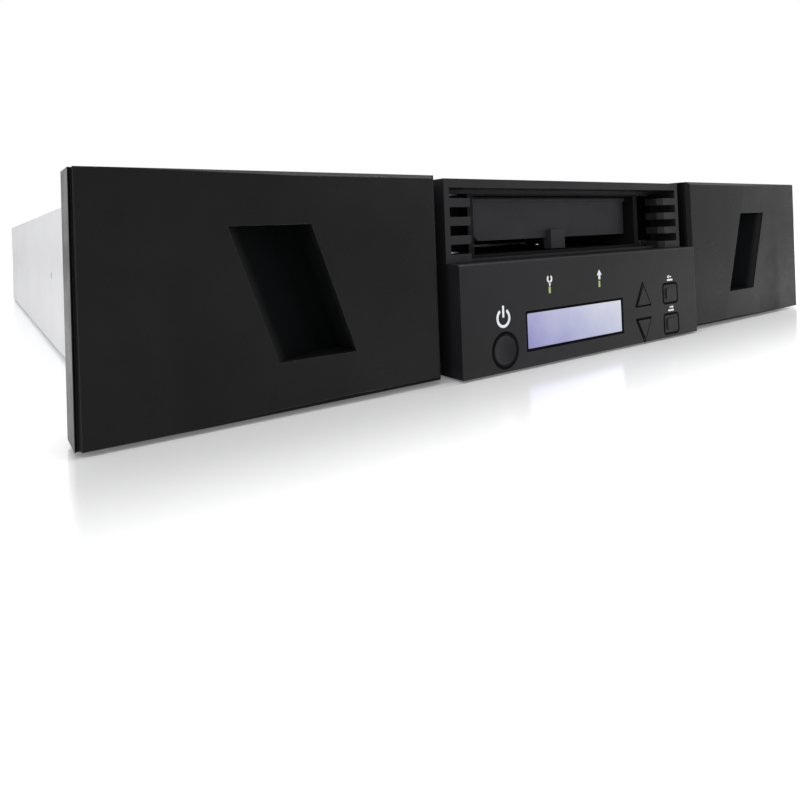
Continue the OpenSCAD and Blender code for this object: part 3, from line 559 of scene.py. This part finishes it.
def block(name, low, high):
    """A box between two corners, with its place in its mesh."""
    fresh()
    low, high = Vector(low), Vector(high)
    bpy.ops.mesh.primitive_cube_add(size=1, location=(low + high) / 2)
    made = bpy.context.object
    made.name = made.data.name = name
    made.scale = high - low
    bpy.ops.object.transform_apply(location=True, rotation=True, scale=True)
    return made


def soften(width, segments=2, pick=None):
    """Bevels the picked edges of the active object."""
    edit(pick, "EDGE")
    bpy.ops.mesh.bevel(
        offset=width, offset_type="OFFSET", segments=segments, profile=0.5, affect="EDGES")
    leave()


def upright(direction):
    """Picks edges that run along a direction."""
    axis = Vector(direction)
    return lambda e: abs((e.verts[1].co - e.verts[0].co).normalized().dot(axis)) > 0.99


FRONT_TO_BACK = upright((0, 1, 0))


def outward():
    """Merges doubles and turns every face of the active object outwards."""
    edit(None, "VERT")
    bpy.ops.mesh.remove_doubles(threshold=1e-6)
    bpy.ops.mesh.select_all(action="SELECT")
    bpy.ops.mesh.normals_make_consistent(inside=False)
    leave()


def swept(name, centre, radius, width, low_y, high_y, start, angle, steps):
    """A flat arc facing the front: a short bar swept round an axis along Y."""
    fresh()
    x = centre[0] + radius * math.cos(start)
    z = centre[1] + radius * math.sin(start)
    bpy.ops.mesh.primitive_plane_add(size=1, location=(0, 0, 0))
    made = bpy.context.object
    made.name = made.data.name = name
    turn = Matrix.Rotation(-start, 4, "Y")
    made.data.transform(Matrix.Translation((x, (low_y + high_y) / 2, z)) @ turn
                        @ Matrix.Diagonal((width, high_y - low_y, 1, 1)))
    bpy.ops.object.mode_set(mode="EDIT")
    bpy.ops.mesh.select_all(action="SELECT")
    bpy.ops.mesh.spin(steps=steps, angle=angle, center=(centre[0], 0, centre[1]), axis=(0, 1, 0))
    leave()
    outward()
    return made


def joined(name, parts):
    """Makes several meshes one."""
    fresh()
    for part in parts:
        part.select_set(True)
    bpy.context.view_layer.objects.active = parts[0]
    bpy.ops.object.join()
    made = bpy.context.object
    made.name = made.data.name = name
    return made


def copied(source, name, move=(0, 0, 0), turn=None):
    """A copy with its own mesh, moved and turned in the mesh."""
    take(source)
    bpy.ops.object.duplicate()
    made = bpy.context.object
    made.name = made.data.name = name
    made.data.transform(Matrix.Translation(move) @ (turn or Matrix()))
    made.data.update()
    return made


def keep(piece, body, finish):
    """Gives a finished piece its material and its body."""
    piece.data.materials.clear()
    piece.data.materials.append(FINISHES[finish])
    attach(piece, body)
    return piece


def framed(piece, width):
    """Opens a flat plate that faces the front, leaving a rim of the given width."""
    take(piece)
    edit(lambda f: abs(f.normal.y) > 0.9)
    bpy.ops.mesh.inset(thickness=width, depth=0)
    bpy.ops.mesh.bridge_edge_loops()
    leave()
    outward()
    return piece


def extruded(name, outline, low_y, high_y):
    """A flat form facing the front, from (x, z) corners, given its thickness along Y."""
    fresh()
    bpy.ops.mesh.primitive_circle_add(
        vertices=len(outline), radius=1, fill_type="NGON", location=(0, 0, 0))
    made = bpy.context.object
    made.name = made.data.name = name
    for corner, (x, z) in zip(made.data.vertices, outline):
        corner.co = (x, high_y, z)
    made.data.update()
    bpy.ops.object.mode_set(mode="EDIT")
    bpy.ops.mesh.select_all(action="SELECT")
    bpy.ops.mesh.extrude_region_move(TRANSFORM_OT_translate={"value": (0, low_y - high_y, 0)})
    leave()
    outward()
    return made


# ---- Front markings ----


def front_face():
    """Front plane of the control panel."""
    return box("control_fascia")[0].y


def mark(name, parts):
    """Joins the strokes of a printed mark and inks it."""
    return keep(joined(name, parts), "chassis", "mark_ink")


class TAPE_OT_power_mark(bpy.types.Operator):
    """Prints the power mark above the round button."""

    bl_idname = "tape.power_mark"
    bl_label = "Power mark"

    def execute(self, context):
        face = front_face()
        front, back = face - context.scene.tape_front.print_height, face + INK_SINK
        spot = middle("power_button")
        x, z = spot.x - 0.7 * MM, spot.z + 14.4 * MM
        half_gap = 32
        ring = swept("power_mark_ring", (x, z), 3.7 * MM, 1.25 * MM, front, back,
                     math.radians(90 + half_gap), math.radians(360 - 2 * half_gap), 40)
        stem = block("power_mark_stem", (x - 0.6 * MM, front, z + 0.2 * MM),
                     (x + 0.6 * MM, back, z + 5.6 * MM))
        soften(0.45 * MM, 3, FRONT_TO_BACK)
        mark("power_mark", [ring, stem])
        return {"FINISHED"}


class TAPE_OT_status_marks(bpy.types.Operator):
    """Prints a service mark and a ready mark above the two status lights."""

    bl_idname = "tape.status_marks"
    bl_label = "Status marks"

    def execute(self, context):
        face = front_face()
        front, back = face - context.scene.tape_front.print_height, face + INK_SINK
        low, high = box("status_light_pipes")
        left, right = low.x + 1.8 * MM, high.x - 1.8 * MM
        base = (low.z + high.z) / 2 + 1.9 * MM
        jaw = swept("service_jaw", (left, base + 3.3 * MM), 1.45 * MM, 0.95 * MM, front, back,
                    math.radians(125), math.radians(290), 24)
        grip = block("service_grip", (left - 0.5 * MM, front, base),
                     (left + 0.5 * MM, back, base + 2.0 * MM))
        soften(0.25 * MM, 2, FRONT_TO_BACK)
        mark("service_mark", [jaw, grip])
        shoulder = base + 2.5 * MM
        head = extruded("ready_head", [
            (right, base + 5.4 * MM), (right - 1.9 * MM, shoulder), (right + 1.9 * MM, shoulder)],
            front, back)
        soften(0.3 * MM, 2, FRONT_TO_BACK)
        tail = block("ready_tail", (right - 0.75 * MM, front, base + 0.4 * MM),
                     (right + 0.75 * MM, back, base + 2.7 * MM))
        soften(0.2 * MM, 2, FRONT_TO_BACK)
        mark("ready_mark", [head, tail])
        return {"FINISHED"}


class TAPE_OT_key_marks(bpy.types.Operator):
    """Prints a turned arrow over a bar above each square key."""

    bl_idname = "tape.key_marks"
    bl_label = "Key marks"

    def execute(self, context):
        face = front_face()
        front, back = face - context.scene.tape_front.print_height, face + INK_SINK
        for name, side in (("escape", -1), ("enter", 1)):
            key = name + "_button"
            spot = middle(key)
            x, z = spot.x, spot.z + 6.9 * MM
            bar = block(key + "_bar", (x - 2.7 * MM, front, z), (x + 2.7 * MM, back, z + 1.0 * MM))
            soften(0.3 * MM, 2, FRONT_TO_BACK)
            shaft = block(key + "_shaft", (x - 1.4 * MM, front, z + 1.9 * MM),
                          (x + 1.4 * MM, back, z + 2.6 * MM))
            soften(0.2 * MM, 2, FRONT_TO_BACK)
            tip = extruded(key + "_tip", [
                (x + side * 2.7 * MM, z + 2.25 * MM), (x + side * 0.9 * MM, z + 3.3 * MM),
                (x + side * 0.9 * MM, z + 1.2 * MM)], front, back)
            soften(0.12 * MM, 2, FRONT_TO_BACK)
            mark(name + "_mark", [bar, shaft, tip])
        return {"FINISHED"}


class TAPE_OT_display(bpy.types.Operator):
    """Fits the lit face of the display and the dark mask round it."""

    bl_idname = "tape.display"
    bl_label = "Display"

    def execute(self, context):
        low, high = box("display_window")
        rim = 2.0 * MM
        x0, x1, z0, z1 = low.x + rim, high.x - rim, low.z + rim, high.z - rim
        front = low.y
        lit_face = block("display_face", (x0 + 0.9 * MM, front - 0.12 * MM, z0 + 0.9 * MM),
                         (x1 - 0.9 * MM, front - 0.03 * MM, z1 - 0.9 * MM))
        soften(1.4 * MM, 5, FRONT_TO_BACK)
        keep(lit_face, "chassis", "display_face")
        mask = block("display_mask", (x0 + 0.03 * MM, front - 0.36 * MM, z0 + 0.03 * MM),
                     (x1 - 0.03 * MM, front - 0.14 * MM, z1 - 0.03 * MM))
        soften(1.8 * MM, 6, FRONT_TO_BACK)
        keep(framed(mask, 1.25 * MM), "chassis", "dark_slot")
        return {"FINISHED"}


class TAPE_OT_button_rings(bpy.types.Operator):
    """Lays a near-black ring round each button, all but flush with the panel, as painted shade of
    the gap round the button.
    """

    bl_idname = "tape.button_rings"
    bl_label = "Button gap shades"

    def execute(self, context):
        face = front_face()
        front, back = face - 0.04 * MM, face + 0.3 * MM
        low, high = box("power_button")
        spot = (low + high) / 2
        radius = (high.x - low.x) / 2 - 0.05 * MM
        # Painted shade: a near-black ring where the gap round the button lies in shadow.
        ring = swept("power_gasket", (spot.x, spot.z), radius, 1.3 * MM, front, back,
                     0, math.radians(360), 56)
        keep(ring, "chassis", "dark_slot")
        # Painted shade of the gaps round the square and arrow keys.
        for key in ("escape_button", "enter_button"):
            low, high = box(key)
            rim = block(key + "_gasket", (low.x - 0.6 * MM, front, low.z - 0.6 * MM),
                        (high.x + 0.6 * MM, back, high.z + 0.6 * MM))
            soften(2.4 * MM, 5, FRONT_TO_BACK)
            keep(framed(rim, 0.85 * MM), "chassis", "dark_slot")
        for key, up in (("up_button", 1), ("down_button", -1)):
            spot = middle(key)
            wide, tall = 7.6 * MM, 6.2 * MM
            rim = extruded(key + "_gasket", [
                (spot.x - wide, spot.z - up * tall), (spot.x + wide, spot.z - up * tall),
                (spot.x, spot.z + up * (tall + 1.6 * MM))], front, back)
            soften(1.1 * MM, 4, FRONT_TO_BACK)
            keep(framed(rim, 0.75 * MM), "chassis", "dark_slot")
        return {"FINISHED"}


class TAPE_OT_louvre_screens(bpy.types.Operator):
    """Stands a near-black ribbed sheet behind each comb of louvres, as painted shade of the gaps
    behind them.
    """

    bl_idname = "tape.louvre_screens"
    bl_label = "Louvre shade sheets"

    def execute(self, context):
        low, high = box("centre_frame")
        foot, head = low.z + 51.5 * MM, high.z - 6.4 * MM
        near, far = box("throat_liner")[1].x + 0.5 * MM, box("control_fascia")[1].x - 3.4 * MM
        wall = box("front_bulkhead")[0].y
        # Painted shade: near-black sheets fill the view between the louvres, where there is only
        # shadow.
        for name, x0, x1 in (("left", -far, -near), ("right", near, far)):
            shade_sheet = block(name + "_louvre_shade", (x0, wall - 1.6 * MM, foot),
                           (x1, wall - 0.4 * MM, head))
            edit(lambda f: f.normal.y < -0.9)
            bpy.ops.mesh.inset(thickness=0.8 * MM, depth=-0.5 * MM)
            leave()
            keep(shade_sheet, "chassis", "dark_slot")
        return {"FINISHED"}


# ---- Small fittings ----


def screw_head(name, radius, height):
    """A flat screw head centred on the origin, facing up, with a cross recess."""
    fresh()
    bpy.ops.mesh.primitive_cylinder_add(
        vertices=40, radius=radius, depth=height, location=(0, 0, height / 2))
    made = bpy.context.object
    made.name = made.data.name = name
    cutters = []
    for i, (a, b) in enumerate(((0.62, 0.13), (0.13, 0.62))):
        arm = block(name + "_cut" + str(i), (-radius * a, -radius * b, height * 0.4),
                    (radius * a, radius * b, height * 1.5))
        cutters.append(arm)
    for piece, other, operation in ((*cutters, "UNION"), (made, cutters[0], "DIFFERENCE")):
        take(piece)
        cut = piece.modifiers.new("cross", "BOOLEAN")
        cut.operation, cut.object, cut.solver = operation, other, "EXACT"
        bpy.ops.object.modifier_apply(modifier=cut.name)
    for arm in cutters:
        bpy.data.objects.remove(arm)
    outward()
    return made


class TAPE_OT_screws(bpy.types.Operator):
    """Lets flat, cross-recessed heads half into the rear panel, by the fan and the inlet."""

    bl_idname = "tape.screws"
    bl_label = "Screw heads"

    def execute(self, context):
        rear = box("rear_panel")[1].y
        pattern = screw_head("rear_screw_pattern", context.scene.tape_case.screw_radius, 1.4 * MM)
        lay = Matrix.Rotation(-math.pi / 2, 4, "X")
        low, high = box("fan_frame")
        spots = [(x, z) for x in (low.x + FAN_SCREW_INSET, high.x - FAN_SCREW_INSET)
                 for z in (low.z + FAN_SCREW_INSET, high.z - FAN_SCREW_INSET)]
        spots.append((box("power_inlet")[0].x - INLET_SCREW_GAP, middle("power_inlet").z))
        for i, (x, z) in enumerate(spots):
            head = copied(pattern, "rear_screw_%d" % (i + 1), (x, rear, z), lay)
            keep(head, "chassis", "screw_steel")
        bpy.data.objects.remove(pattern)
        return {"FINISHED"}


class TAPE_OT_port_shells(bpy.types.Operator):
    """Fits a steel rim with rounded corners over each connector at the rear."""

    bl_idname = "tape.port_shells"
    bl_label = "Port shells"

    def execute(self, context):
        rear = box("controller_board")[1].y
        base = box("controller_board")[0].z + BOARD_THICKNESS
        for name, x0, x1, tall, rim in PORTS:
            shell = block(name + "_shell", (x0 * MM, rear - 0.25 * MM, base),
                          (x1 * MM, rear + 0.35 * MM, base + tall * MM))
            soften(0.8 * MM, 3, FRONT_TO_BACK)
            keep(framed(shell, rim * MM), "chassis", "screw_steel")
        return {"FINISHED"}


class TAPE_OT_labels(bpy.types.Operator):
    """Sets a blank writing label into the back of every cartridge."""

    bl_idname = "tape.labels"
    bl_label = "Cartridge labels"

    def execute(self, context):
        low, high = box("right_cartridges")
        pitch = (high.y - low.y - CARTRIDGE_WIDTH) / (CARTRIDGES_LONG - 1)
        storey = high.z - CARTRIDGE_HEIGHT - low.z
        first = low.y + CARTRIDGE_WIDTH / 2
        label = block("cartridge_label", (low.x + 0.12 * MM, first - 43.6 * MM, low.z + 4.4 * MM),
                      (low.x + 0.55 * MM, first + 9.6 * MM, low.z + 16.6 * MM))
        soften(0.9 * MM, 3, upright((1, 0, 0)))
        for side in (-1, 1):
            name = "left" if side < 0 else "right"
            for i in range(CARTRIDGES_LONG):
                for j in range(CARTRIDGES_HIGH):
                    number = i * CARTRIDGES_HIGH + j + 1
                    one = copied(label, "%s_label_%d" % (name, number), (0, i * pitch, j * storey))
                    if side < 0:
                        one.data.transform(Matrix.Diagonal((-1, 1, 1, 1)))
                        outward()
                    keep(one, name + "_magazine", "label_paper")
        bpy.data.objects.remove(label)
        return {"FINISHED"}


# ---- Stage ----


def soft_box(name, place, aim, size, power):
    """A white rectangular lamp at a place, turned to its aim."""
    lamp = bpy.data.lights.new(name, "AREA")
    lamp.shape, lamp.size, lamp.size_y = "RECTANGLE", size[0], size[1]
    lamp.energy = power
    made = bpy.data.objects.new(name, lamp)
    bpy.context.scene.collection.objects.link(made)
    made.location = place
    made.rotation_mode = "QUATERNION"
    made.rotation_quaternion = (Vector(aim) - Vector(place)).to_track_quat("-Z", "Y")


class TAPE_OT_stage(bpy.types.Operator):
    """Lays the floor, hangs the lights and places the camera."""

    bl_idname = "tape.stage"
    bl_label = "Stage"

    def execute(self, context):
        scene = context.scene
        settings = scene.tape_stage
        scene.view_settings.view_transform = "Standard"
        self.floor()
        self.sky(settings.sky)
        middle_y = (CAD_BOX[0][1] + CAD_BOX[1][1]) / 2
        soft_box("key_left", (-1.5, -1.3, 1.5), (0, -0.25, 0.04), (1.2, 1.2), settings.key)
        soft_box("top_fill", (0.1, middle_y, 1.7), (0, middle_y, 0), (1.6, 1.6), 9.0)
        soft_box("top_strip", (0.0, middle_y - 0.35, 1.1), (0, -0.32, 0.08), (1.8, 0.1), 8.0)
        soft_box("left_strip", (-1.7, -0.75, 0.25), (-0.24, -0.31, 0.04), (0.14, 1.0), 5.0)
        soft_box("front_right", (1.3, -2.0, 0.55), (0, -0.3, 0.05), (0.9, 1.0), 3.0)
        self.camera(scene, settings.lens)
        return {"FINISHED"}

    def floor(self):
        """A pale floor whose gloss is strong only close to the object."""
        fresh()
        bpy.ops.mesh.primitive_plane_add(size=FLOOR_SIZE, location=(0, 0, -FLOOR_DROP))
        floor = bpy.context.object
        floor.name = floor.data.name = "floor"
        bpy.ops.object.transform_apply(location=True, rotation=True, scale=True)
        made = bpy.data.materials.new("pale_gloss_floor")
        made.use_nodes = True
        tree = made.node_tree
        tree.nodes.remove(tree.nodes["Principled BSDF"])
        out = tree.nodes["Material Output"]
        plain = add(tree, "ShaderNodeBsdfDiffuse", {"Color": (0.93, 0.93, 0.935, 1)})
        shine = add(tree, "ShaderNodeBsdfGlossy", {"Color": (1, 1, 1, 1), "Roughness": 0.17})
        both = add(tree, "ShaderNodeMixShader")
        far = self.distance(tree)
        near = add(tree, "ShaderNodeMapRange", {
            "From Min": 0.0, "From Max": 0.11, "To Min": 0.56, "To Max": 0.02},
            interpolation_type="SMOOTHSTEP")
        tree.links.new(far, near.inputs["Value"])
        tree.links.new(near.outputs["Result"], both.inputs["Fac"])
        tree.links.new(plain.outputs["BSDF"], both.inputs[1])
        tree.links.new(shine.outputs["BSDF"], both.inputs[2])
        path = add(tree, "ShaderNodeLightPath")
        glow = add(tree, "ShaderNodeEmission", {"Color": (1, 1, 1, 1)})
        rise = spread(tree, far, 0.14, 0.6, 0.12, 1.2)
        lift = maths(tree, "MULTIPLY", path.outputs["Is Camera Ray"], rise)
        tree.links.new(lift, glow.inputs["Strength"])
        total = add(tree, "ShaderNodeAddShader")
        tree.links.new(both.outputs["Shader"], total.inputs[0])
        tree.links.new(glow.outputs["Emission"], total.inputs[1])
        tree.links.new(total.outputs["Shader"], out.inputs["Surface"])
        floor.data.materials.append(made)

    def distance(self, tree):
        """Distance from the footprint, by which the floor's gloss fades and its white rises."""
        place = axes(tree, where(tree))
        flat = add(tree, "ShaderNodeCombineXYZ")
        for i, key in enumerate("XY"):
            low, high = CAD_BOX[0][i], CAD_BOX[1][i]
            off = maths(tree, "ABSOLUTE", maths(tree, "SUBTRACT", place[key], (low + high) / 2))
            over = maths(tree, "MAXIMUM", maths(tree, "SUBTRACT", off, (high - low) / 2), 0)
            tree.links.new(over, flat.inputs[key])
        far = add(tree, "ShaderNodeVectorMath", operation="LENGTH")
        tree.links.new(flat.outputs["Vector"], far.inputs[0])
        return far.outputs["Value"]

    def sky(self, strength):
        """Soft light from all round; plain white where seen, mirrored or behind a clear piece."""
        world = bpy.data.worlds.new("studio")
        bpy.context.scene.world = world
        world.use_nodes = True
        tree = world.node_tree
        back = tree.nodes["Background"]
        back.inputs["Color"].default_value = (1, 1, 1, 1)
        ray = add(tree, "ShaderNodeLightPath").outputs
        seen = maths(tree, "MAXIMUM", ray["Is Camera Ray"], ray["Is Glossy Ray"])
        seen = maths(tree, "MAXIMUM", seen, ray["Is Transmission Ray"])
        tree.links.new(spread(tree, seen, strength, 1.0), back.inputs["Strength"])

    def camera(self, scene, lens):
        """Looks at the front from its left, held nearly level, with the frame shifted."""
        yaw, pitch, roll = (math.radians(v) for v in CAMERA_TURN)
        panel = box("left_panel")[0]
        data = bpy.data.cameras.new("camera")
        made = bpy.data.objects.new("camera", data)
        scene.collection.objects.link(made)
        level = math.cos(pitch)
        ahead = Vector((math.sin(yaw) * level, math.cos(yaw) * level, -math.sin(pitch)))
        right = Vector((math.cos(yaw), -math.sin(yaw), 0))
        up = right.cross(ahead)
        side = math.cos(roll) * right + math.sin(roll) * up
        top = -math.sin(roll) * right + math.cos(roll) * up
        turn = Matrix((side, top, -ahead)).transposed().to_4x4()
        back, rise = CAMERA_FROM_PANEL
        made.matrix_world = Matrix.Translation((CAMERA_X, panel.y + back, panel.z + rise)) @ turn
        data.sensor_width = 36
        data.lens = lens
        data.shift_x, data.shift_y = CAMERA_SHIFT
        data.clip_start, data.clip_end = 0.01, 60
        scene.camera = made


class TAPE_PT_panel(bpy.types.Panel):
    """Lists the settings and the steps."""

    bl_idname = "TAPE_PT_panel"
    bl_label = "Tape library"
    bl_space_type = "VIEW_3D"
    bl_region_type = "UI"
    bl_category = "Tape library"

    def draw(self, context):
        scene = context.scene
        for group in (scene.tape_front, scene.tape_case, scene.tape_stage):
            column = self.layout.column()
            for key in group.__annotations__:
                column.prop(group, key)
        for step in STEPS:
            self.layout.operator(step.bl_idname)


STEPS = (
    TAPE_OT_finishes, TAPE_OT_power_mark, TAPE_OT_status_marks, TAPE_OT_key_marks, TAPE_OT_display,
    TAPE_OT_button_rings, TAPE_OT_louvre_screens, TAPE_OT_screws, TAPE_OT_port_shells,
    TAPE_OT_labels, TAPE_OT_stage,
)
CLASSES = (FrontSettings, CaseSettings, StageSettings, TAPE_PT_panel) + STEPS


def register():
    for kind in CLASSES:
        bpy.utils.register_class(kind)
    bpy.types.Scene.tape_front = bpy.props.PointerProperty(type=FrontSettings)
    bpy.types.Scene.tape_case = bpy.props.PointerProperty(type=CaseSettings)
    bpy.types.Scene.tape_stage = bpy.props.PointerProperty(type=StageSettings)


def unregister():
    for name in ("tape_front", "tape_case", "tape_stage"):
        delattr(bpy.types.Scene, name)
    for kind in reversed(CLASSES):
        bpy.utils.unregister_class(kind)


def main():
    register()
    bpy.ops.tape.finishes()
    bpy.ops.tape.power_mark()
    bpy.ops.tape.status_marks()
    bpy.ops.tape.key_marks()
    bpy.ops.tape.display()
    bpy.ops.tape.button_rings()
    bpy.ops.tape.louvre_screens()
    bpy.ops.tape.screws()
    bpy.ops.tape.port_shells()
    bpy.ops.tape.labels()
    bpy.ops.tape.stage()


if __name__ == "__main__":
    main()
